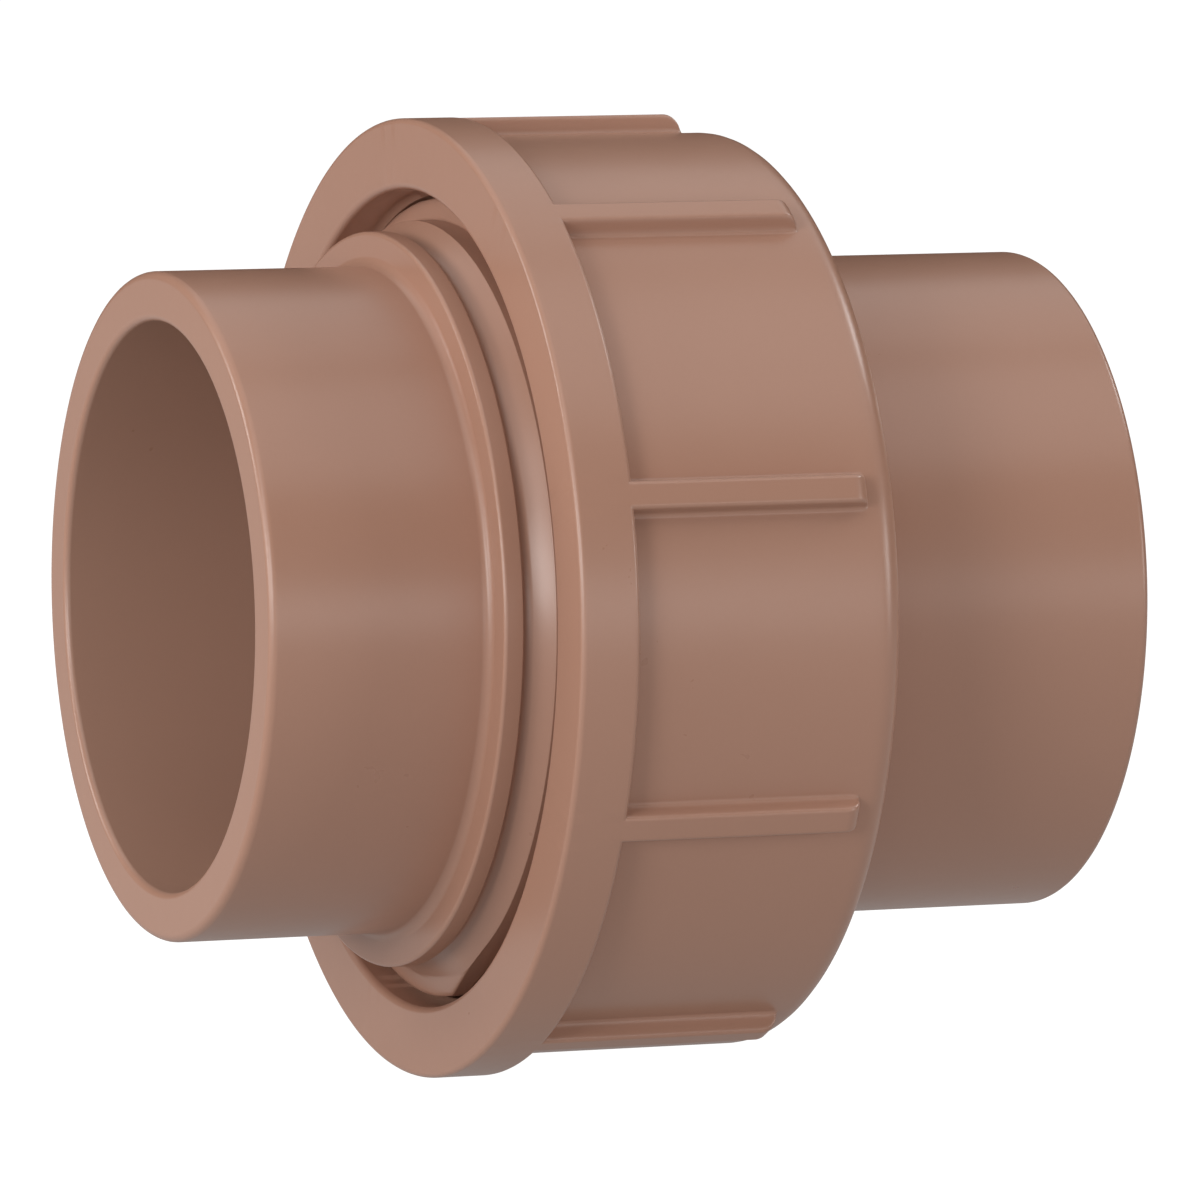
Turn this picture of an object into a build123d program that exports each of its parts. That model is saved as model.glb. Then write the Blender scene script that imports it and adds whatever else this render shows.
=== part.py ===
from build123d import *
from math import radians, sqrt, tan
import os

# Solvent-weld pipe union for 50 mm pipe: two socket ends that a loose ribbed nut draws
# together on an O-ring. The origin is at mid-length on the pipe axis. +X runs along the
# pipe from the threaded end towards the flanged end, and +Z is up. Millimetres.

# ---- the two sockets ----
LENGTH = 82.2              # overall, nut tight
SOCKET_OUTER_R = 29.45
SOCKET_BORE_R = 25.1       # 50 mm pipe plus solvent-cement clearance
SOCKET_DEPTH = 31.0
WATERWAY_R = 22.5
MOUTH_ROUND = 0.75         # outer edge of each mouth
LEAD_IN = 0.6              # rounding inside each mouth
STOP_ROUND = 0.5           # inner corner at the pipe stop

# ---- where the two ends meet ----
JOINT_X = 1.4              # end face of the threaded end
FACE_GAP = 0.3             # the O-ring keeps the faces this far apart

# ---- threaded end ----
COLLAR_X = -20.9           # face of the collar, towards the left mouth
COLLAR_WIDTH = 1.85
COLLAR_R = 32.5
COLLAR_ROOT_ROUND = 0.9
COLLAR_EDGE_ROUND = 0.35
NECK_R = 31.9              # between collar and thread
NECK_END_X = -18.0
NECK_ROUND = 0.2
END_CHAMFER = 1.2

# ---- thread: right hand, trapezoidal ----
PITCH = 4.0
THREAD_ROOT_R = 33.4
THREAD_CREST_R = 35.3
THREAD_PLAY = 0.35         # radial play between nut and threaded end
CREST_WIDTH = 1.25
FLANK_DEG = 15.0
THREAD_START_X = -15.6     # centre of the first turn where it starts
THREAD_START_DEG = -60.0   # 0 is towards -Y, 90 is up
THREAD_TURNS = 3.5
CORE_BITE = 0.3            # how far a turn is sunk into its core
RUN_OUT_BLOCK = (PITCH, 8.0, 32.0)  # flat cutter that thins each end of the outer turns
NUT_THREAD_LEAD = 0.25     # turns from the outer thread's start to the nut's
NUT_THREAD_TURNS = 3.0
NUT_RUN_OUT_R = 19.0       # round cutter that thins each end of the nut's turns

# ---- union nut ----
NUT_X = -17.65             # open, threaded side
NUT_LENGTH = 30.7
NUT_RIM_R = 42.45
NUT_RIM_WIDTH = 5.4
NUT_BODY_R = 40.7
NUT_EDGE_ROUND = 0.5
NUT_RIM_COVE = 0.5          # inner corner between rim and body
NUT_END_ROUND = 2.25
NUT_ENTRY_R = 36.2
NUT_ENTRY_DEPTH = 3.2
NUT_ENTRY_ROUND = 0.6
NUT_RELIEF_R = 36.0         # room behind the thread, round the flange
NUT_RELIEF_X = 1.8
LIP_THICKNESS = 5.0
LIP_HOLE_R = 29.85
LIP_ROUND = 0.5
RIB_COUNT = 9
RIB_FIRST_DEG = 16.5       # 0 is towards -Y, 90 is up
RIB_WIDTH = 2.6
RIB_EDGE_ROUND = 0.4
RIB_COVE = 0.5              # inner corner along each side of a rib
RIB_CORNER_ROUND = 1.4      # corners of a rib's free end and its coves, seen from outside
RIB_END_X = 9.8
RIB_END_ROUND = 1.6
RIB_TOP = 42.44             # a hair below the rim, because a rib's top is flat
RIB_SUNK_R = 39.0           # how deep a rib starts inside the nut's wall

# ---- flanged end ----
FLANGE_R = 33.0
FLANGE_LIP_GAP = 0.3       # between the back of the flange and the nut's lip
FLANGE_ROUND = 0.5

# ---- O-ring in its groove in the flange's face ----
SEAL_R = 28.5              # centre line of the ring
SEAL_WIDTH = 4.0           # radial thickness, squeezed
GROOVE_WIDTH = 4.4
GROOVE_DEPTH = 3.4
SEAL_CLEARANCE = 0.05      # each side, along the pipe

LEFT_X = -LENGTH / 2
RIGHT_X = LENGTH / 2
FLANGE_FACE_X = JOINT_X + FACE_GAP
NUT_END_X = NUT_X + NUT_LENGTH
LIP_X = NUT_END_X - LIP_THICKNESS
FLANGE_BACK_X = LIP_X - FLANGE_LIP_GAP
NUT_MINOR_R = THREAD_ROOT_R + THREAD_PLAY
NUT_ROOT_R = THREAD_CREST_R + THREAD_PLAY


def turned(*corners):
    """Solid turned about the pipe axis. A corner is (x, radius, rounding)."""
    points = [(x, radius) for x, radius, rounding in corners]
    outline = FilletPolyline(*points, radius=[corner[2] for corner in corners], close=True)
    return revolve(make_face(outline), Axis.X)


def around(angle_deg):
    """Turn about the pipe axis that brings the -Y side to this angle."""
    return Rot(X=-angle_deg)


def thread_place(turns):
    """Place on the outer thread's centre line, this many turns on from its start."""
    return Pos(THREAD_START_X + PITCH * turns, 0, 0) * around(THREAD_START_DEG - 360 * turns)


def raised_turns(root_r, crest_r, count):
    """Right-hand trapezoidal ridge that starts on the -Y side and runs towards +X."""
    half_crest = CREST_WIDTH / 2
    half_root = half_crest + abs(crest_r - root_r) * tan(radians(FLANK_DEG))
    profile = make_face(
        Polyline(
            (-half_root, -root_r),
            (-half_crest, -crest_r),
            (half_crest, -crest_r),
            (half_root, -root_r),
            close=True,
        )
    )
    helix = Helix(pitch=PITCH, height=PITCH * count, radius=crest_r, direction=(1, 0, 0))
    start = helix @ 0
    seat = Rot(X=start.get_signed_angle(Vector(0, -1, 0), Vector(1, 0, 0)))
    return sweep(profile, path=seat * helix, is_frenet=True)


def outer_turns():
    """Thread of the threaded end. A flat cutter thins each end down to the root."""
    turns = raised_turns(THREAD_ROOT_R - CORE_BITE, THREAD_CREST_R, THREAD_TURNS)
    cutter = Pos(0, -THREAD_ROOT_R - RUN_OUT_BLOCK[1] / 2, 0) * Box(*RUN_OUT_BLOCK)
    first, last = thread_place(0), thread_place(THREAD_TURNS)
    return first * turns - [first * cutter, last * cutter]


def nut_turns():
    """Thread of the nut, half a pitch off the other. A round cutter thins each end."""
    half_pitch = Pos(PITCH / 2, 0, 0)
    turns = raised_turns(NUT_ROOT_R + CORE_BITE, NUT_MINOR_R, NUT_THREAD_TURNS)
    cutter = Pos(0, NUT_RUN_OUT_R - NUT_ROOT_R, 0) * Rot(Y=90) * Cylinder(NUT_RUN_OUT_R, PITCH)
    first, last = [thread_place(NUT_THREAD_LEAD + n) for n in (0, NUT_THREAD_TURNS)]
    return half_pitch * (first * turns - [first * cutter, last * cutter])


def threaded_end():
    collar_back_x = COLLAR_X + COLLAR_WIDTH
    body = turned(
        (LEFT_X, SOCKET_BORE_R, LEAD_IN),
        (LEFT_X, SOCKET_OUTER_R, MOUTH_ROUND),
        (COLLAR_X, SOCKET_OUTER_R, COLLAR_ROOT_ROUND),
        (COLLAR_X, COLLAR_R, COLLAR_EDGE_ROUND),
        (collar_back_x, COLLAR_R, NECK_ROUND),
        (collar_back_x, NECK_R, NECK_ROUND),
        (NECK_END_X, NECK_R, 0),
        (NECK_END_X + THREAD_ROOT_R - NECK_R, THREAD_ROOT_R, 0),
        (JOINT_X - END_CHAMFER, THREAD_ROOT_R, 0),
        (JOINT_X, THREAD_ROOT_R - END_CHAMFER, 0),
        (JOINT_X, WATERWAY_R, STOP_ROUND),
        (LEFT_X + SOCKET_DEPTH, WATERWAY_R, STOP_ROUND),
        (LEFT_X + SOCKET_DEPTH, SOCKET_BORE_R, 0),
    )
    return body + outer_turns()


def rib(angle_deg):
    """One grip rib, flush with the rim, with a cove along each side and a rounded end."""
    foot = RIB_WIDTH / 2 + RIB_COVE
    foot_r = sqrt(NUT_BODY_R**2 - foot**2)
    start_x = NUT_X + NUT_RIM_WIDTH / 2
    section = FilletPolyline(
        (start_x, -foot_r, -foot),
        (start_x, -foot_r, -RIB_WIDTH / 2),
        (start_x, -RIB_TOP, -RIB_WIDTH / 2),
        (start_x, -RIB_TOP, RIB_WIDTH / 2),
        (start_x, -foot_r, RIB_WIDTH / 2),
        (start_x, -foot_r, foot),
        (start_x, -RIB_SUNK_R, foot),
        (start_x, -RIB_SUNK_R, -foot),
        radius=[0, RIB_COVE, RIB_EDGE_ROUND, RIB_EDGE_ROUND, RIB_COVE, 0, 0, 0],
        close=True,
    )
    plan = FilletPolyline(
        (start_x, -RIB_SUNK_R, -foot),
        (start_x, -RIB_SUNK_R, foot),
        (RIB_END_X, -RIB_SUNK_R, foot),
        (RIB_END_X, -RIB_SUNK_R, -foot),
        radius=[0, 0, RIB_CORNER_ROUND, RIB_CORNER_ROUND],
        close=True,
    )
    side = turned(
        (start_x, 0, 0),
        (start_x, NUT_RIM_R, 0),
        (RIB_END_X, NUT_RIM_R, RIB_END_ROUND),
        (RIB_END_X, 0, 0),
    )
    bar = extrude(make_face(section), RIB_END_X - start_x, dir=(1, 0, 0))
    bar &= extrude(make_face(plan), NUT_RIM_R - RIB_SUNK_R, dir=(0, -1, 0))
    return around(angle_deg) * (bar & side)


def union_nut():
    rim_end_x = NUT_X + NUT_RIM_WIDTH
    entry_x = NUT_X + NUT_ENTRY_DEPTH
    body = turned(
        (NUT_X, NUT_ENTRY_R, NUT_ENTRY_ROUND),
        (NUT_X, NUT_RIM_R, NUT_EDGE_ROUND),
        (rim_end_x, NUT_RIM_R, NUT_EDGE_ROUND),
        (rim_end_x, NUT_BODY_R, NUT_RIM_COVE),
        (NUT_END_X, NUT_BODY_R, NUT_END_ROUND),
        (NUT_END_X, LIP_HOLE_R, LIP_ROUND),
        (LIP_X, LIP_HOLE_R, LIP_ROUND),
        (LIP_X, NUT_RELIEF_R, LIP_ROUND),
        (NUT_RELIEF_X, NUT_RELIEF_R, 0),
        (NUT_RELIEF_X - NUT_RELIEF_R + NUT_ROOT_R, NUT_ROOT_R, 0),
        (entry_x + NUT_ENTRY_R - NUT_ROOT_R, NUT_ROOT_R, 0),
        (entry_x, NUT_ENTRY_R, 0),
    )
    ribs = [rib(RIB_FIRST_DEG + 360 / RIB_COUNT * k) for k in range(RIB_COUNT)]
    return body + nut_turns() + ribs


def flanged_end():
    body = turned(
        (FLANGE_FACE_X, WATERWAY_R, STOP_ROUND),
        (FLANGE_FACE_X, SEAL_R - GROOVE_WIDTH / 2, 0),
        (FLANGE_FACE_X + GROOVE_DEPTH, SEAL_R - GROOVE_WIDTH / 2, STOP_ROUND),
        (FLANGE_FACE_X + GROOVE_DEPTH, SEAL_R + GROOVE_WIDTH / 2, STOP_ROUND),
        (FLANGE_FACE_X, SEAL_R + GROOVE_WIDTH / 2, 0),
        (FLANGE_FACE_X, FLANGE_R, FLANGE_ROUND),
        (FLANGE_BACK_X, FLANGE_R, FLANGE_ROUND),
        (FLANGE_BACK_X, SOCKET_OUTER_R, 0),
        (RIGHT_X, SOCKET_OUTER_R, MOUTH_ROUND),
        (RIGHT_X, SOCKET_BORE_R, LEAD_IN),
        (RIGHT_X - SOCKET_DEPTH, SOCKET_BORE_R, 0),
        (RIGHT_X - SOCKET_DEPTH, WATERWAY_R, STOP_ROUND),
    )
    return body


def o_ring():
    """Ring squeezed between the two faces, so its section is an oval."""
    thickness = GROOVE_DEPTH + FACE_GAP - 2 * SEAL_CLEARANCE
    centre_x = FLANGE_FACE_X + (GROOVE_DEPTH - FACE_GAP) / 2
    section = Pos(centre_x, SEAL_R) * Ellipse(thickness / 2, SEAL_WIDTH / 2)
    return revolve(section, Axis.X)


NODES = {
    "threaded_end": threaded_end,
    "union_nut": union_nut,
    "flanged_end": flanged_end,
    "o_ring": o_ring,
}

os.makedirs("parts", exist_ok=True)
for name, build in NODES.items():
    export_step(build(), f"parts/{name}.step")
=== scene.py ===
"""Builds the looks of a brown plastic pipe union around its packed frame, in metres."""

from functools import cache
from math import cos, pi, radians, sin, tan

import bmesh
import bpy
import numpy as np
from bpy.props import FloatProperty, FloatVectorProperty, IntProperty, PointerProperty
from mathutils import Matrix, Vector


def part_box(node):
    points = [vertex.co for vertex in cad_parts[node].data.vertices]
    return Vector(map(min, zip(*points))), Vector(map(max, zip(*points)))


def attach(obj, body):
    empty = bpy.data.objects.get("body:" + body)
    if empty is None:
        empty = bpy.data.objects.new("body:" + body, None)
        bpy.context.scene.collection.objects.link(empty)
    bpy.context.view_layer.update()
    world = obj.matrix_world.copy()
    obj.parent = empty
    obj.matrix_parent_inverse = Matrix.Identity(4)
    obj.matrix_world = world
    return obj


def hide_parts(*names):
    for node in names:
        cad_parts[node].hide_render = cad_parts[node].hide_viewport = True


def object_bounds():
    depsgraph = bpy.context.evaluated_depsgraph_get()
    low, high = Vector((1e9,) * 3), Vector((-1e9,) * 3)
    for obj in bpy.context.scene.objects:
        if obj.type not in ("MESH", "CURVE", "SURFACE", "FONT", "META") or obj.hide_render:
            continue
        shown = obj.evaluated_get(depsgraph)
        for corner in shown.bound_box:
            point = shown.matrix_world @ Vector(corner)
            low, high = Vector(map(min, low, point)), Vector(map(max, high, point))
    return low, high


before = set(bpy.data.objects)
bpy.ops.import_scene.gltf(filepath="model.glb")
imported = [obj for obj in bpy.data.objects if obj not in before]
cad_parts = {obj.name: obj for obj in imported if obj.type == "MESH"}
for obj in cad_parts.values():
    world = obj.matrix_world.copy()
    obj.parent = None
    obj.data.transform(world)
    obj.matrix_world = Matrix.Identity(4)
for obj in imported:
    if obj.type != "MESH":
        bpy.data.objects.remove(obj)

bl_info = {
    "name": "Pipe Union",
    "version": (1, 0, 0),
    "blender": (4, 5, 0),
    "location": "3D View > Sidebar > Pipe Union",
    "description": "Makes a solvent-weld pipe union with a ribbed nut",
    "category": "Add Mesh",
}

MM = 0.001
CAD_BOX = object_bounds()
ARC_STEPS = 7               # faces round a small edge
COLUMNS_PLAIN = 360         # mesh columns round a piece that has no ribs
NUT_COLUMNS_BETWEEN = 30    # mesh columns between two ribs
THREAD_STEP = 0.1 * MM      # mesh rows along a thread that is seen
HIDDEN_THREAD_STEP = 0.2 * MM
MERGE_DISTANCE = 0.5e-6
SAME_RADIUS = 0.01 * MM
RIB_SINK = 0.01 * MM        # a rib's top is a hair below the rim
RIB_END_ROWS = np.linspace(1.1, 0.0, 18)   # mesh rows over a rib's rounded end
FINE_ROUND = 0.2 * MM
INNER_ROUND = 0.5 * MM
LIP_GAP = 0.3 * MM          # between the nut's lip and the flange
NUT_THREAD_LEAD = 0.25      # turns from the outer thread's start to the nut's
NUT_THREAD_TURNS = 3.0
SEAL_POINTS = 40
END_SHARE = 0.001           # stations this close to a stretch's ends are left out
RIB_COLUMN_COUNTS = (3, 8, 3, 7)    # over the crest, the top edge, the side and the cove
RIB_COVE_ROWS = 4

# Noise is in cells a metre.
CLOUD_CELLS, SPECK_CELLS, PEEL_CELLS, GRAIN_CELLS = 55.0, 2600.0, 700.0, 5200.0
CLOUD_DETAIL, FINE_DETAIL = 4.0, 2.0
CLOUD_SHARE, SPECK_SHARE = 0.7, 0.3     # how much each moves the plastic's colour
GRAIN_SHARE = 0.4                       # the grain's height beside the orange peel's
PEEL_STRENGTH, PEEL_DEPTH = 0.35, 0.01 * MM
ROUGH_BELOW, ROUGH_CLOUDS, ROUGH_PEEL = 0.05, 0.06, 0.05    # spread of the roughness
PLASTIC_IOR = 1.5
BORE_INSIDE = 25.3 * MM     # painted shade: the bores inside this radius, which lie in shade, get a paler, greyer copy of the plastic
BORE_BLEND = 0.5 * MM
ACROSS_PIPE = (0.0, 1.0, 1.0)
RUBBER_CELLS, BLOOM_CELLS, RUBBER_DETAIL = 3200.0, 120.0, 3.0
RUBBER_STRENGTH, RUBBER_DEPTH = 0.4, 0.02 * MM
RUBBER_ROUGHNESS, RUBBER_ROUGH_BLOOM = 0.5, 0.15

SENSOR_WIDTH = 36.0         # camera, in mm
CLIP_START = 0.05
FLOOR_HALF_SIZE = 3.0
FLOOR_SEEN = 1.2            # how bright the camera sees the floor
FLOOR_MATT_SHARE = 0.12     # share of the floor that takes light, the rest glows
FLOOR_PALE = (0.9, 0.9, 0.9, 1.0)
WHITE = (1, 1, 1, 1)


# ---------------------------------------------------------------- sizes and colours


def length(name, description, millimetres):
    """A size property, stored in metres."""
    return FloatProperty(
        name=name, description=description, default=millimetres * MM,
        unit="LENGTH", subtype="DISTANCE", precision=5,
    )


def colour(name, description, default):
    """A colour property, in linear light."""
    return FloatVectorProperty(
        name=name, description=description, default=default,
        subtype="COLOR", size=3, min=0.0, max=1.0,
    )


def share(name, description, default):
    """A property between 0 and 1."""
    return FloatProperty(
        name=name, description=description, default=default, min=0.0, max=1.0, subtype="FACTOR"
    )


def angle(name, description, degrees):
    """An angle property."""
    return FloatProperty(
        name=name, description=description, default=radians(degrees), subtype="ANGLE"
    )


class UnionSockets(bpy.types.PropertyGroup):
    """The two pipe sockets and what each carries at its inner end."""

    outer_radius: length("Socket radius", "Outside radius of both sockets", 29.45)
    bore_radius: length("Bore radius", "Radius of the bore that takes the pipe", 25.1)
    depth: length("Socket depth", "From the mouth to the pipe stop", 31.0)
    waterway: length("Waterway radius", "Radius past the pipe stop", 22.5)
    mouth_round: length("Mouth rounding", "Outer edge of each mouth", 0.75)
    lead_in: length("Lead-in", "Rounding inside each mouth", 0.6)
    collar_start: length("Collar start", "Where the collar begins, along the pipe", -20.9)
    collar_width: length("Collar width", "Width of the collar", 1.85)
    collar_radius: length("Collar radius", "Radius of the collar", 32.5)
    collar_fillet: length("Collar fillet", "Inner corner in front of the collar", 0.9)
    collar_edge: length("Collar edge", "Rounding of the collar's edge", 0.35)
    neck_radius: length("Neck radius", "Between the collar and the thread", 31.9)
    neck_end: length("Neck end", "Where the neck ends, along the pipe", -18.0)
    end_chamfer: length("End chamfer", "Chamfer on the threaded end's inner face", 1.2)
    flange_radius: length("Flange radius", "Flange that the nut's lip pulls on", 33.0)
    seal_radius: length("Seal radius", "Centre line of the O-ring", 28.5)
    groove_width: length("Groove width", "Radial width of the seal's groove", 4.4)
    groove_depth: length("Groove depth", "Depth of the seal's groove", 3.4)


class UnionThread(bpy.types.PropertyGroup):
    """Right-hand trapezoidal thread."""

    pitch: length("Pitch", "Travel in one turn", 4.0)
    root: length("Root radius", "Foot of the outer thread", 33.4)
    crest: length("Crest radius", "Top of the outer thread", 35.3)
    play: length("Play", "Radial room between the two threads", 0.35)
    crest_width: length("Crest width", "Flat top of a turn", 1.25)
    start: length("Start", "Centre of the first turn, along the pipe", -15.6)
    flank: angle("Flank", "Slope of a flank", 15.0)
    start_angle: angle("Start angle", "Where the first turn starts, 0 towards -Y", -60.0)
    turns: FloatProperty(name="Turns", description="Turns on the threaded end", default=3.5)
    run_out: angle("Run-out", "Angle over which a turn thins to nothing", 19.0)


class UnionNut(bpy.types.PropertyGroup):
    """The loose nut and its grip ribs."""

    rim_radius: length("Rim radius", "Outside radius of the rim", 42.45)
    rim_width: length("Rim width", "Width of the rim", 5.4)
    body_radius: length("Body radius", "Outside radius behind the rim", 40.7)
    edge_round: length("Edge rounding", "Edges of the rim", 0.5)
    rim_cove: length("Rim cove", "Inner corner between rim and body", 0.5)
    end_round: length("End rounding", "Edge at the lip end", 2.25)
    entry_radius: length("Entry radius", "Opening round the threaded end", 36.2)
    entry_depth: length("Entry depth", "Depth of the plain opening", 3.2)
    entry_round: length("Entry rounding", "Edge of the opening", 0.6)
    relief_start: length("Relief start", "Where the thread ends inside, along the pipe", 1.8)
    relief_radius: length("Relief radius", "Room round the flange", 36.0)
    lip_thickness: length("Lip thickness", "The lip that pulls on the flange", 5.0)
    lip_hole: length("Lip hole radius", "Hole in the lip", 29.85)
    ribs: IntProperty(name="Ribs", description="Grip ribs round the nut", default=9, min=1)
    first_rib: angle("First rib", "Angle of the first rib, 0 towards -Y", 16.5)
    rib_width: length("Rib width", "Width of a rib", 2.6)
    rib_edge: length("Rib edge", "Rounding along a rib's top edges", 0.42)
    rib_cove: length("Rib cove", "Inner corner along a rib's sides", 0.5)
    rib_draft: length("Rib draft", "How far each side of a rib leans", 0.08)
    rib_end: length("Rib end", "Free end of the ribs, along the pipe", 9.8)
    rib_end_round: length("Rib end rounding", "Rounding of a rib's free end", 1.5)
    rib_end_cove: length("Rib end cove", "Inner corner at a rib's free end", 0.15)


class UnionLook(bpy.types.PropertyGroup):
    """Colours and surface of the moulded plastic and the rubber."""

    plastic: colour("Plastic", "Reddish brown of the moulded plastic", (0.388, 0.205, 0.142))
    plastic_pale: colour("Pale plastic", "Paler cloud in the plastic", (0.416, 0.226, 0.159))
    # painted shade: the colour for the bores, a paler, greyer copy of the plastic for the shaded
    # bores
    painted_bore_shade: colour("Bore plastic", "Greyer skin inside the bores", (0.385, 0.245, 0.185))
    rubber: colour("Rubber", "The seal", (0.012, 0.012, 0.012))
    rubber_bloom: colour("Rubber bloom", "Paler cloud in the seal", (0.022, 0.021, 0.020))
    roughness: share("Roughness", "Mean roughness of the plastic", 0.29)


class UnionStage(bpy.types.PropertyGroup):
    """Camera, floor and lights."""

    azimuth: angle("Azimuth", "Camera's angle round the union, 0 looks along +Y", -21.51)
    elevation: angle("Elevation", "Camera's height above level", 5.08)
    distance: FloatProperty(
        name="Distance", description="Camera to the middle", default=0.9755, unit="LENGTH"
    )
    lens: FloatProperty(name="Lens", description="Focal length in mm", default=328.6)
    aim_right: FloatProperty(
        name="Aim right", description="Aim beside the middle", default=0.00064, unit="LENGTH"
    )
    aim_up: FloatProperty(
        name="Aim up", description="Aim above the middle", default=-0.00071, unit="LENGTH"
    )
    floor_glow: FloatProperty(name="Floor glow", description="Light from the floor", default=0.42)


GROUPS = {
    "union_sockets": UnionSockets,
    "union_thread": UnionThread,
    "union_nut": UnionNut,
    "union_look": UnionLook,
    "union_stage": UnionStage,
}


# ---------------------------------------------------------------- turned shapes


def outline_of(corners):
    """Closed outline of (x, radius) points. A corner is (x, radius, rounding)."""
    points = []
    for i, (x, r, rounding) in enumerate(corners):
        here = Vector((x, r))
        if not rounding:
            points.append(here)
            continue
        before = (Vector(corners[i - 1][:2]) - here).normalized()
        after = (Vector(corners[(i + 1) % len(corners)][:2]) - here).normalized()
        half = before.angle(after) / 2
        centre = here + (before + after).normalized() * rounding / sin(half)
        first = here + before * rounding / tan(half) - centre
        last = here + after * rounding / tan(half) - centre
        turn = first.angle(last)
        for step in range(ARC_STEPS + 1):
            share_done = step / ARC_STEPS
            arm = first * sin((1 - share_done) * turn) + last * sin(share_done * turn)
            points.append(centre + arm / sin(turn))
    return np.array(points)


def add_stations(outline, stations, low, high):
    """Add points at these x on every stretch of the outline whose radius is in low..high."""
    points = []
    for start, end in zip(outline, np.roll(outline, -1, axis=0)):
        points.append(start)
        if not (low <= min(start[1], end[1]) and max(start[1], end[1]) <= high):
            continue
        if abs(end[0] - start[0]) < SAME_RADIUS:
            continue
        share_done = (np.asarray(stations) - start[0]) / (end[0] - start[0])
        inner = np.sort(share_done[(share_done > END_SHARE) & (share_done < 1 - END_SHARE)])
        points.extend(start + (end - start) * s for s in inner)
    return np.array(points)


def turn_outline(name, outline, columns, swell=None):
    """Mesh turned about the pipe axis, one column of the outline at each angle.

    An angle is 0 towards -Y and 90 degrees up. swell(x, radius, angle) gives the
    radius of every point once threads and ribs are raised.
    """
    angles = np.asarray(columns)[:, None]
    x = np.repeat(outline[None, :, 0], len(columns), axis=0)
    r = np.repeat(outline[None, :, 1], len(columns), axis=0)
    if swell:
        r = swell(x, r, np.broadcast_to(angles, x.shape))
    spots = np.stack([x, -r * np.cos(angles), r * np.sin(angles)], axis=-1)
    count_a, count_p = x.shape
    here = np.arange(count_a * count_p).reshape(count_a, count_p)
    next_angle, next_point = np.roll(here, -1, axis=0), np.roll(here, -1, axis=1)
    faces = np.stack([here, next_angle, np.roll(next_angle, -1, axis=1), next_point], axis=-1)
    mesh = bpy.data.meshes.new(name)
    mesh.from_pydata(spots.reshape(-1, 3).tolist(), [], faces.reshape(-1, 4).tolist())
    work = bmesh.new()
    work.from_mesh(mesh)
    bmesh.ops.remove_doubles(work, verts=work.verts, dist=MERGE_DISTANCE)
    bmesh.ops.dissolve_degenerate(work, edges=work.edges, dist=MERGE_DISTANCE / 2)
    bmesh.ops.recalc_face_normals(work, faces=work.faces)
    work.to_mesh(mesh)
    work.free()
    mesh.shade_smooth()
    return mesh


def stand_for(node, mesh, slot):
    """Show this mesh for a packed node, on the same body, in the slot's material."""
    piece = bpy.data.objects.new(mesh.name, mesh)
    bpy.context.scene.collection.objects.link(piece)
    mesh.materials.append(MATERIALS[slot]())
    weigh = piece.modifiers.new("even normals", "WEIGHTED_NORMAL")
    weigh.keep_sharp = False
    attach(piece, node)
    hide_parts(node)


def even_columns(count):
    """This many angles, evenly spaced round the pipe axis."""
    return np.arange(count) * 2 * pi / count


def ramp(value, start, end):
    """0 before start, 1 after end and straight between."""
    return np.clip((value - start) / (end - start), 0.0, 1.0)


def turn_height(x, angles, thread, start, first, turns):
    """Share of the full height that a thread's ridge has at each point.

    The ridge's centre is at start, along the pipe, at the thread's start angle. The
    ridge itself begins this many turns on, and thins to nothing at both its ends.
    """
    part_turn = (thread.start_angle - angles) / (2 * pi)
    along = part_turn + np.round((x - start) / thread.pitch - part_turn)
    off = np.abs(x - start - thread.pitch * along)
    flank = (thread.crest - thread.root) * tan(thread.flank)
    ridge = 1.0 - ramp(off, thread.crest_width / 2, thread.crest_width / 2 + flank)
    fade = thread.run_out / (2 * pi)
    begin = ramp(along, first, first + fade) ** 2
    end = ramp(first + turns - along, 0.0, fade) ** 2
    return np.minimum(ridge, np.minimum(begin, end))


def edge_height(inside, full, cove, draft, rounding):
    """Height of a raised edge, at this distance inside its foot."""
    foot = np.clip(inside + cove, 0.0, cove)
    hollow = cove - np.sqrt(cove**2 - foot**2)
    wall = ramp(inside, 0.0, draft) * (full - rounding - cove)
    bend = rounding - np.clip(inside - draft, 0.0, rounding)
    return hollow + wall + np.sqrt(rounding**2 - bend**2)


def rib_height(x, angles, nut):
    """Height of the grip ribs above the nut's body at each point."""
    full = nut.rim_radius - nut.body_radius - RIB_SINK
    gap = 2 * pi / nut.ribs
    off = np.abs((angles - nut.first_rib + gap / 2) % gap - gap / 2) * nut.body_radius
    sides = edge_height(nut.rib_width / 2 - off, full, nut.rib_cove, nut.rib_draft, nut.rib_edge)
    ends = edge_height(nut.rib_end - x, full, nut.rib_end_cove, nut.rib_draft, nut.rib_end_round)
    return sides * ends / full


def rib_columns(nut):
    """Angles of the nut's mesh columns: close together over each edge of a rib."""
    half = nut.rib_width / 2
    edge = half - nut.rib_draft
    on_crest, on_edge, on_side, on_cove = RIB_COLUMN_COUNTS
    offsets = np.concatenate([
        np.linspace(0.0, edge - nut.rib_edge, on_crest, endpoint=False),
        np.linspace(edge - nut.rib_edge, edge, on_edge, endpoint=False),
        np.linspace(edge, half, on_side, endpoint=False),
        np.linspace(half, half + nut.rib_cove, on_cove),
    ]) / nut.body_radius
    gap = 2 * pi / nut.ribs
    between = np.linspace(offsets[-1], gap - offsets[-1], NUT_COLUMNS_BETWEEN)[1:-1]
    one = np.concatenate([-offsets[:0:-1], offsets, between])
    return np.concatenate([nut.first_rib + gap * k + one for k in range(nut.ribs)])


# ---------------------------------------------------------------- shader arithmetic


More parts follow.
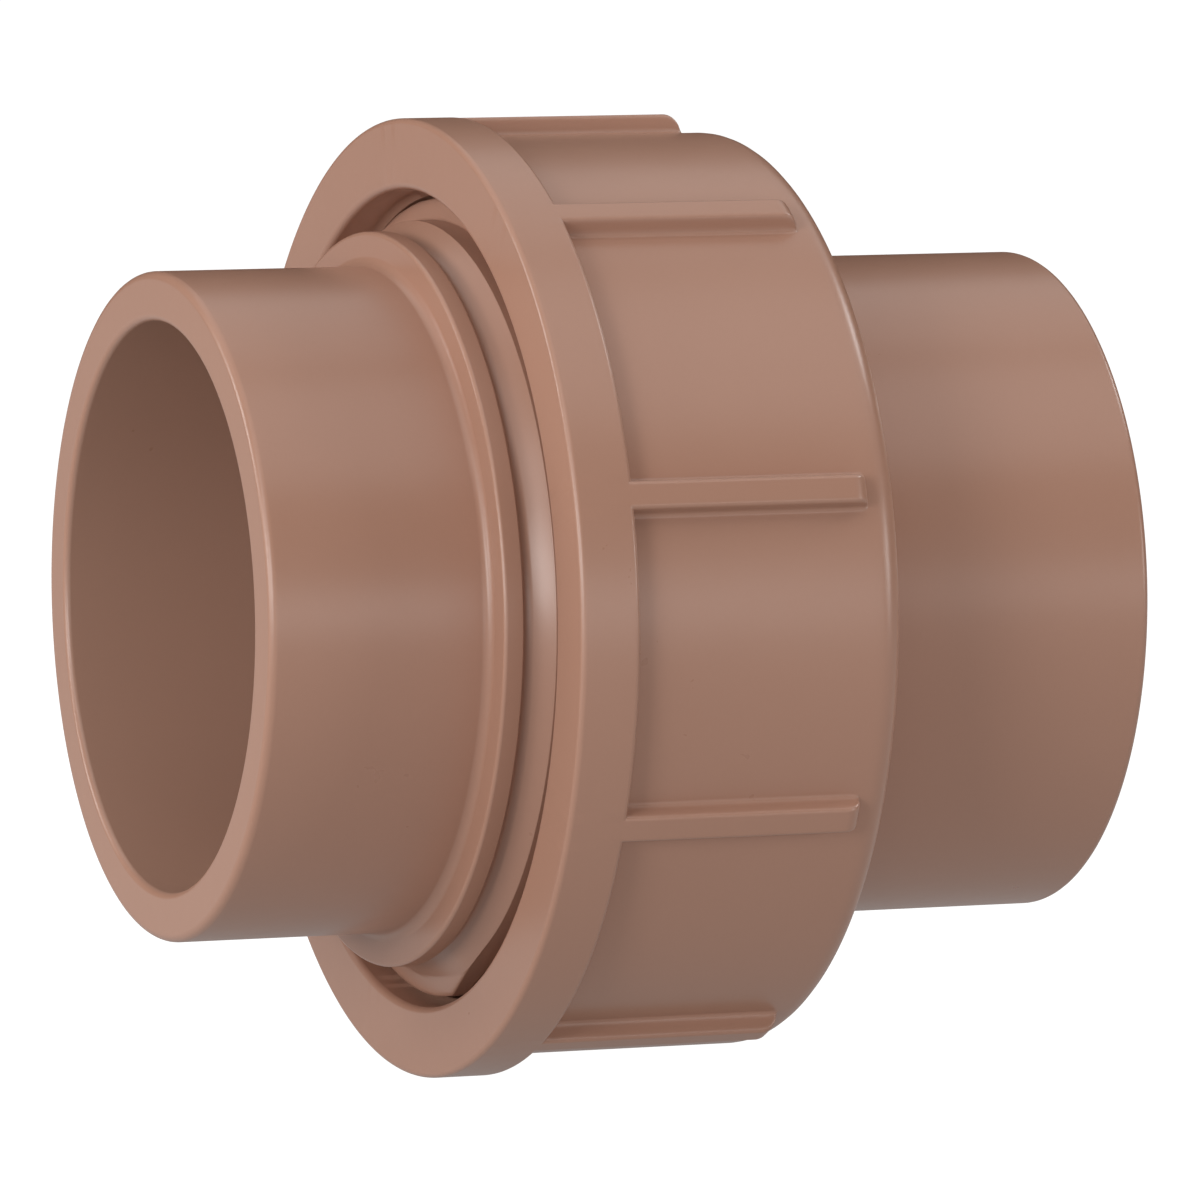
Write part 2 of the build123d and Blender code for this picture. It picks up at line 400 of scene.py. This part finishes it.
class Signal:
    """One output of a node tree, which can stand in Python arithmetic."""

    def __init__(self, tree, socket=None):
        self.tree = tree
        self.socket = socket

    def node(self, kind, settings=(), inputs=(), output=0):
        """Add a node. Its settings are set first, then each input takes a value or a link."""
        made = self.tree.nodes.new(kind)
        for name, value in dict(settings).items():
            setattr(made, name, value)
        for name, value in dict(inputs).items():
            if isinstance(value, Signal):
                self.tree.links.new(value.socket, made.inputs[name])
            else:
                made.inputs[name].default_value = value
        return Signal(self.tree, made.outputs[output] if made.outputs else None)

    def math(self, operation, *values):
        return self.node("ShaderNodeMath", {"operation": operation}, enumerate(values))

    def __add__(self, other):
        return self.math("ADD", self, other)

    def __sub__(self, other):
        return self.math("SUBTRACT", self, other)

    def __rsub__(self, other):
        return self.math("SUBTRACT", other, self)

    def __mul__(self, other):
        return self.math("MULTIPLY", self, other)

    __radd__ = __add__
    __rmul__ = __mul__


def blank(owner):
    """Empty the node tree of a material or world and return a signal to build on."""
    owner.use_nodes = True
    owner.node_tree.nodes.clear()
    return Signal(owner.node_tree)


def noise(shade, place, scale, detail):
    """Soft noise between 0 and 1, with this many cells a metre."""
    return shade.node(
        "ShaderNodeTexNoise", {"noise_dimensions": "3D"},
        {"Vector": place, "Scale": scale, "Detail": detail},
    )


# ---------------------------------------------------------------- materials


@cache
def moulded_plastic():
    """Satin brown plastic: faint clouds of colour, orange peel and painted shade in the bores, a
    paler, greyer copy of the plastic.
    """
    look = bpy.context.scene.union_look
    material = bpy.data.materials.new("brown_plastic")
    shade = blank(material)
    place = shade.node("ShaderNodeTexCoord", output="Object")
    clouds = noise(shade, place, CLOUD_CELLS, CLOUD_DETAIL)
    specks = noise(shade, place, SPECK_CELLS, FINE_DETAIL)
    peel = noise(shade, place, PEEL_CELLS, FINE_DETAIL)
    grain = noise(shade, place, GRAIN_CELLS, FINE_DETAIL)
    tint = shade.node(
        "ShaderNodeMix", {"data_type": "RGBA"},
        {
            "Factor": clouds * CLOUD_SHARE + specks * SPECK_SHARE,
            "A": (*look.plastic, 1.0),
            "B": (*look.plastic_pale, 1.0),
        },
        output="Result",
    )
    across = shade.node(
        "ShaderNodeVectorMath", {"operation": "MULTIPLY"}, {0: place, 1: ACROSS_PIPE},
        output="Vector",
    )
    radius = shade.node(
        "ShaderNodeVectorMath", {"operation": "LENGTH"}, {0: across}, output="Value",
    )
    # painted shade: this mask is 1 inside the bores, where the paler, greyer copy of the plastic
    # goes
    inside = shade.node(
        "ShaderNodeMapRange",
        inputs={
            "Value": radius,
            "From Min": BORE_INSIDE - BORE_BLEND,
            "From Max": BORE_INSIDE,
            "To Min": 1.0,
            "To Max": 0.0,
        },
        output="Result",
    )
    # paint the bores' shade over the clouded plastic
    tint = shade.node(
        "ShaderNodeMix", {"data_type": "RGBA"},
        {"Factor": inside, "A": tint, "B": (*look.painted_bore_shade, 1.0)},
        output="Result",
    )
    tilt = shade.node(
        "ShaderNodeBump",
        inputs={
            "Strength": PEEL_STRENGTH,
            "Distance": PEEL_DEPTH,
            "Height": peel + grain * GRAIN_SHARE,
        },
    )
    shader = shade.node(
        "ShaderNodeBsdfPrincipled",
        inputs={
            "Base Color": tint,
            "Roughness": look.roughness - ROUGH_BELOW + ROUGH_CLOUDS * clouds + ROUGH_PEEL * peel,
            "IOR": PLASTIC_IOR,
            "Normal": tilt,
        },
    )
    shade.node("ShaderNodeOutputMaterial", inputs={"Surface": shader})
    return material


@cache
def seal_rubber():
    """Black moulded rubber with a fine matt grain."""
    look = bpy.context.scene.union_look
    material = bpy.data.materials.new("black_rubber")
    shade = blank(material)
    place = shade.node("ShaderNodeTexCoord", output="Object")
    grain = noise(shade, place, RUBBER_CELLS, RUBBER_DETAIL)
    bloom = noise(shade, place, BLOOM_CELLS, CLOUD_DETAIL)
    tint = shade.node(
        "ShaderNodeMix", {"data_type": "RGBA"},
        {"Factor": bloom, "A": (*look.rubber, 1.0), "B": (*look.rubber_bloom, 1.0)},
        output="Result",
    )
    tilt = shade.node(
        "ShaderNodeBump",
        inputs={"Strength": RUBBER_STRENGTH, "Distance": RUBBER_DEPTH, "Height": grain},
    )
    shader = shade.node(
        "ShaderNodeBsdfPrincipled",
        inputs={
            "Base Color": tint,
            "Roughness": RUBBER_ROUGHNESS + RUBBER_ROUGH_BLOOM * bloom,
            "Normal": tilt,
        },
    )
    shade.node("ShaderNodeOutputMaterial", inputs={"Surface": shader})
    return material


MATERIALS = {"moulded_plastic": moulded_plastic, "seal_rubber": seal_rubber}


# ---------------------------------------------------------------- operators


class UNION_OT_threaded_end(bpy.types.Operator):
    """Turn the left socket with its collar, neck and outside thread"""

    bl_idname = "union.threaded_end"
    bl_label = "Threaded end"

    def execute(self, context):
        size, thread = context.scene.union_sockets, context.scene.union_thread
        left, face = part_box("threaded_end")[0].x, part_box("threaded_end")[1].x
        collar_back = size.collar_start + size.collar_width
        thread_from = size.neck_end + thread.root - size.neck_radius
        thread_to = face - size.end_chamfer
        outline = outline_of([
            (left, size.bore_radius, size.lead_in),
            (left, size.outer_radius, size.mouth_round),
            (size.collar_start, size.outer_radius, size.collar_fillet),
            (size.collar_start, size.collar_radius, size.collar_edge),
            (collar_back, size.collar_radius, FINE_ROUND),
            (collar_back, size.neck_radius, FINE_ROUND),
            (size.neck_end, size.neck_radius, 0),
            (thread_from, thread.root, 0),
            (thread_to, thread.root, 0),
            (face, thread.root - size.end_chamfer, 0),
            (face, size.waterway, INNER_ROUND),
            (left + size.depth, size.waterway, INNER_ROUND),
            (left + size.depth, size.bore_radius, 0),
        ])
        rows = np.arange(thread_from, thread_to, THREAD_STEP)
        low, high = thread.root - SAME_RADIUS, thread.root + SAME_RADIUS
        outline = add_stations(outline, rows, low, high)

        def raise_thread(x, r, angles):
            height = turn_height(x, angles, thread, thread.start, 0.0, thread.turns)
            on_core = np.abs(r - thread.root) < SAME_RADIUS
            return r + on_core * height * (thread.crest - thread.root)

        columns = even_columns(COLUMNS_PLAIN)
        mesh = turn_outline("threaded_end_moulding", outline, columns, raise_thread)
        stand_for("threaded_end", mesh, "moulded_plastic")
        return {"FINISHED"}


class UNION_OT_nut(bpy.types.Operator):
    """Turn the loose nut with its rim, grip ribs, inside thread and lip"""

    bl_idname = "union.nut"
    bl_label = "Union nut"

    def execute(self, context):
        nut, thread = context.scene.union_nut, context.scene.union_thread
        start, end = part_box("union_nut")[0].x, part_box("union_nut")[1].x
        rim_end = start + nut.rim_width
        entry = start + nut.entry_depth
        lip = end - nut.lip_thickness
        root = thread.crest + thread.play
        thread_from = entry + nut.entry_radius - root
        thread_to = nut.relief_start - nut.relief_radius + root
        outline = outline_of([
            (start, nut.entry_radius, nut.entry_round),
            (start, nut.rim_radius, nut.edge_round),
            (rim_end, nut.rim_radius, nut.edge_round),
            (rim_end, nut.body_radius, nut.rim_cove),
            (end, nut.body_radius, nut.end_round),
            (end, nut.lip_hole, INNER_ROUND),
            (lip, nut.lip_hole, INNER_ROUND),
            (lip, nut.relief_radius, INNER_ROUND),
            (nut.relief_start, nut.relief_radius, 0),
            (thread_to, root, 0),
            (thread_from, root, 0),
            (entry, nut.entry_radius, 0),
        ])
        rows = np.arange(thread_from, thread_to, HIDDEN_THREAD_STEP)
        outline = add_stations(outline, rows, root - SAME_RADIUS, root + SAME_RADIUS)
        rib_rows = nut.rib_end - RIB_END_ROWS * nut.rib_end_round
        cove_rows = nut.rib_end + np.linspace(0, nut.rib_end_cove, RIB_COVE_ROWS)
        rib_rows = np.concatenate([rib_rows, cove_rows])
        outline = add_stations(outline, rib_rows, nut.body_radius - SAME_RADIUS, nut.rim_radius)
        middle = (root + nut.body_radius) / 2
        nut_thread = thread.start + thread.pitch / 2
        rim_middle = start + nut.rim_width / 2

        def raise_ribs_and_thread(x, r, angles):
            ribs = nut.body_radius + rib_height(x, angles, nut)
            outside = (r > middle) & (x > rim_middle) & (x < end - nut.end_round)
            turns = turn_height(x, angles, thread, nut_thread, NUT_THREAD_LEAD, NUT_THREAD_TURNS)
            inside = np.abs(r - root) < SAME_RADIUS
            r = np.where(outside, np.maximum(r, ribs), r)
            return r - inside * turns * (thread.crest - thread.root)

        mesh = turn_outline("nut_moulding", outline, rib_columns(nut), raise_ribs_and_thread)
        stand_for("union_nut", mesh, "moulded_plastic")
        return {"FINISHED"}


class UNION_OT_flanged_end(bpy.types.Operator):
    """Turn the right socket with its flange and the seal's groove"""

    bl_idname = "union.flanged_end"
    bl_label = "Flanged end"

    def execute(self, context):
        size, nut = context.scene.union_sockets, context.scene.union_nut
        face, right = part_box("flanged_end")[0].x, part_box("flanged_end")[1].x
        flange_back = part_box("union_nut")[1].x - nut.lip_thickness - LIP_GAP
        groove_end = face + size.groove_depth
        groove_in = size.seal_radius - size.groove_width / 2
        groove_out = size.seal_radius + size.groove_width / 2
        outline = outline_of([
            (face, size.waterway, INNER_ROUND),
            (face, groove_in, 0),
            (groove_end, groove_in, INNER_ROUND),
            (groove_end, groove_out, INNER_ROUND),
            (face, groove_out, 0),
            (face, size.flange_radius, INNER_ROUND),
            (flange_back, size.flange_radius, INNER_ROUND),
            (flange_back, size.outer_radius, 0),
            (right, size.outer_radius, size.mouth_round),
            (right, size.bore_radius, size.lead_in),
            (right - size.depth, size.bore_radius, 0),
            (right - size.depth, size.waterway, INNER_ROUND),
        ])
        mesh = turn_outline("flanged_end_moulding", outline, even_columns(COLUMNS_PLAIN))
        stand_for("flanged_end", mesh, "moulded_plastic")
        return {"FINISHED"}


class UNION_OT_seal(bpy.types.Operator):
    """Turn the squeezed O-ring"""

    bl_idname = "union.seal"
    bl_label = "O-ring"

    def execute(self, context):
        low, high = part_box("o_ring")
        centre = (low.x + high.x) / 2
        radius = context.scene.union_sockets.seal_radius
        bend = even_columns(SEAL_POINTS)
        oval = np.stack(
            [
                centre + np.cos(bend) * (high.x - low.x) / 2,
                radius + np.sin(bend) * (high.y - radius),
            ],
            axis=-1,
        )
        mesh = turn_outline("seal_ring", oval, even_columns(COLUMNS_PLAIN))
        stand_for("o_ring", mesh, "seal_rubber")
        return {"FINISHED"}


# Each light's name, place, size (long side, short side) and power in watts.
LIGHTS = (
    ("top_front_light", (0.0, -0.26, 0.55), (1.2, 0.46), 1.95),
    ("top_back_light", (0.0, 0.24, 0.55), (1.2, 0.46), 1.5),
    ("left_front_light", (-0.75, -0.56, 0.20), (0.3, 0.25), 2.0),
    ("left_low_light", (-0.80, -0.50, 0.04), (0.3, 0.12), 0.9),
    ("left_high_light", (-0.70, -0.35, 0.45), (0.3, 0.25), 0.7),
    ("left_end_light", (-1.00, -0.05, 0.12), (0.4, 0.25), 2.7),
    ("left_back_light", (-0.70, 0.40, 0.25), (0.3, 0.25), 1.5),
    ("front_light", (0.0, -0.60, 0.02), (0.7, 0.15), 0.68),
    ("right_top_light", (0.75, 0.0, 0.60), (0.3, 0.25), 1.6),
    ("right_front_light", (0.75, -0.56, 0.12), (0.3, 0.25), 1.4),
)


def camera_axes(stage):
    """The camera's right, up and back directions."""
    back = Vector((
        sin(stage.azimuth) * cos(stage.elevation),
        -cos(stage.azimuth) * cos(stage.elevation),
        sin(stage.elevation),
    ))
    right = Vector((cos(stage.azimuth), sin(stage.azimuth), 0.0))
    return right, back.cross(right), back


def area_light(name, place, size, power):
    """A soft rectangular light at place that faces the union. Its long side is level."""
    lamp = bpy.data.lights.new(name, "AREA")
    lamp.shape = "RECTANGLE"
    lamp.size, lamp.size_y = size
    lamp.energy = power
    light = bpy.data.objects.new(name, lamp)
    light.location = place
    light.rotation_euler = (-Vector(place)).to_track_quat("-Z", "Y").to_euler()
    light.visible_camera = False
    bpy.context.scene.collection.objects.link(light)


class UNION_OT_stage(bpy.types.Operator):
    """Make the pale floor, the soft lights and the camera"""

    bl_idname = "union.stage"
    bl_label = "Floor, lights and camera"

    def execute(self, context):
        scene = context.scene
        stage = scene.union_stage
        right, up, back = camera_axes(stage)
        self.make_camera(scene, stage, right, up, back)
        self.make_world(scene)
        self.make_floor(scene)
        for name, place, size, power in LIGHTS:
            area_light(name, place, size, power)
        return {"FINISHED"}

    def make_camera(self, scene, stage, right, up, back):
        camera = bpy.data.objects.new("camera", bpy.data.cameras.new("camera"))
        camera.data.lens = stage.lens
        camera.data.sensor_width = SENSOR_WIDTH
        camera.data.clip_start = CLIP_START
        place = right * stage.aim_right + up * stage.aim_up + back * stage.distance
        turn = Matrix((right, up, back)).transposed().to_4x4()
        camera.matrix_world = Matrix.Translation(place) @ turn
        scene.collection.objects.link(camera)
        scene.camera = camera

    def make_world(self, scene):
        """White where the camera sees it, and no light on the union."""
        world = bpy.data.worlds.new("studio")
        scene.world = world
        shade = blank(world)
        seen = shade.node("ShaderNodeLightPath", output="Is Camera Ray")
        glow = shade.node("ShaderNodeBackground", inputs={"Color": WHITE, "Strength": seen})
        shade.node("ShaderNodeOutputWorld", inputs={"Surface": glow})
        scene.view_settings.view_transform = "Standard"

    def make_floor(self, scene):
        size = FLOOR_HALF_SIZE
        mesh = bpy.data.meshes.new("floor")
        z = CAD_BOX[0].z
        corners = [(-size, -size, z), (size, -size, z), (size, size, z), (-size, size, z)]
        mesh.from_pydata(corners, [], [(0, 1, 2, 3)])
        floor = bpy.data.objects.new("floor", mesh)
        scene.collection.objects.link(floor)
        material = bpy.data.materials.new("floor")
        shade = blank(material)
        glowing = scene.union_stage.floor_glow
        seen = shade.node("ShaderNodeLightPath", output="Is Camera Ray")
        glow = shade.node(
            "ShaderNodeEmission",
            inputs={"Color": WHITE, "Strength": glowing + (FLOOR_SEEN - glowing) * seen},
        )
        matt = shade.node("ShaderNodeBsdfDiffuse", inputs={"Color": FLOOR_PALE})
        both = shade.node("ShaderNodeMixShader", inputs={0: FLOOR_MATT_SHARE, 1: glow, 2: matt})
        shade.node("ShaderNodeOutputMaterial", inputs={"Surface": both})
        mesh.materials.append(material)


class UNION_PT_panel(bpy.types.Panel):
    """Lists the steps that make the union"""

    bl_label = "Pipe Union"
    bl_idname = "UNION_PT_panel"
    bl_space_type = "VIEW_3D"
    bl_region_type = "UI"
    bl_category = "Pipe Union"

    def draw(self, context):
        for step in STEPS:
            self.layout.operator(step.bl_idname)
        for name, group in GROUPS.items():
            box = self.layout.box()
            box.label(text=group.__doc__)
            for field in group.__annotations__:
                box.prop(getattr(context.scene, name), field)


STEPS = (
    UNION_OT_threaded_end,
    UNION_OT_nut,
    UNION_OT_flanged_end,
    UNION_OT_seal,
    UNION_OT_stage,
)
CLASSES = (*GROUPS.values(), *STEPS, UNION_PT_panel)


def register():
    for item in CLASSES:
        bpy.utils.register_class(item)
    for name, group in GROUPS.items():
        setattr(bpy.types.Scene, name, PointerProperty(type=group))


def unregister():
    for name in GROUPS:
        delattr(bpy.types.Scene, name)
    for item in reversed(CLASSES):
        bpy.utils.unregister_class(item)


def main():
    register()
    bpy.ops.union.threaded_end()
    bpy.ops.union.nut()
    bpy.ops.union.flanged_end()
    bpy.ops.union.seal()
    bpy.ops.union.stage()


if __name__ == "__main__":
    main()
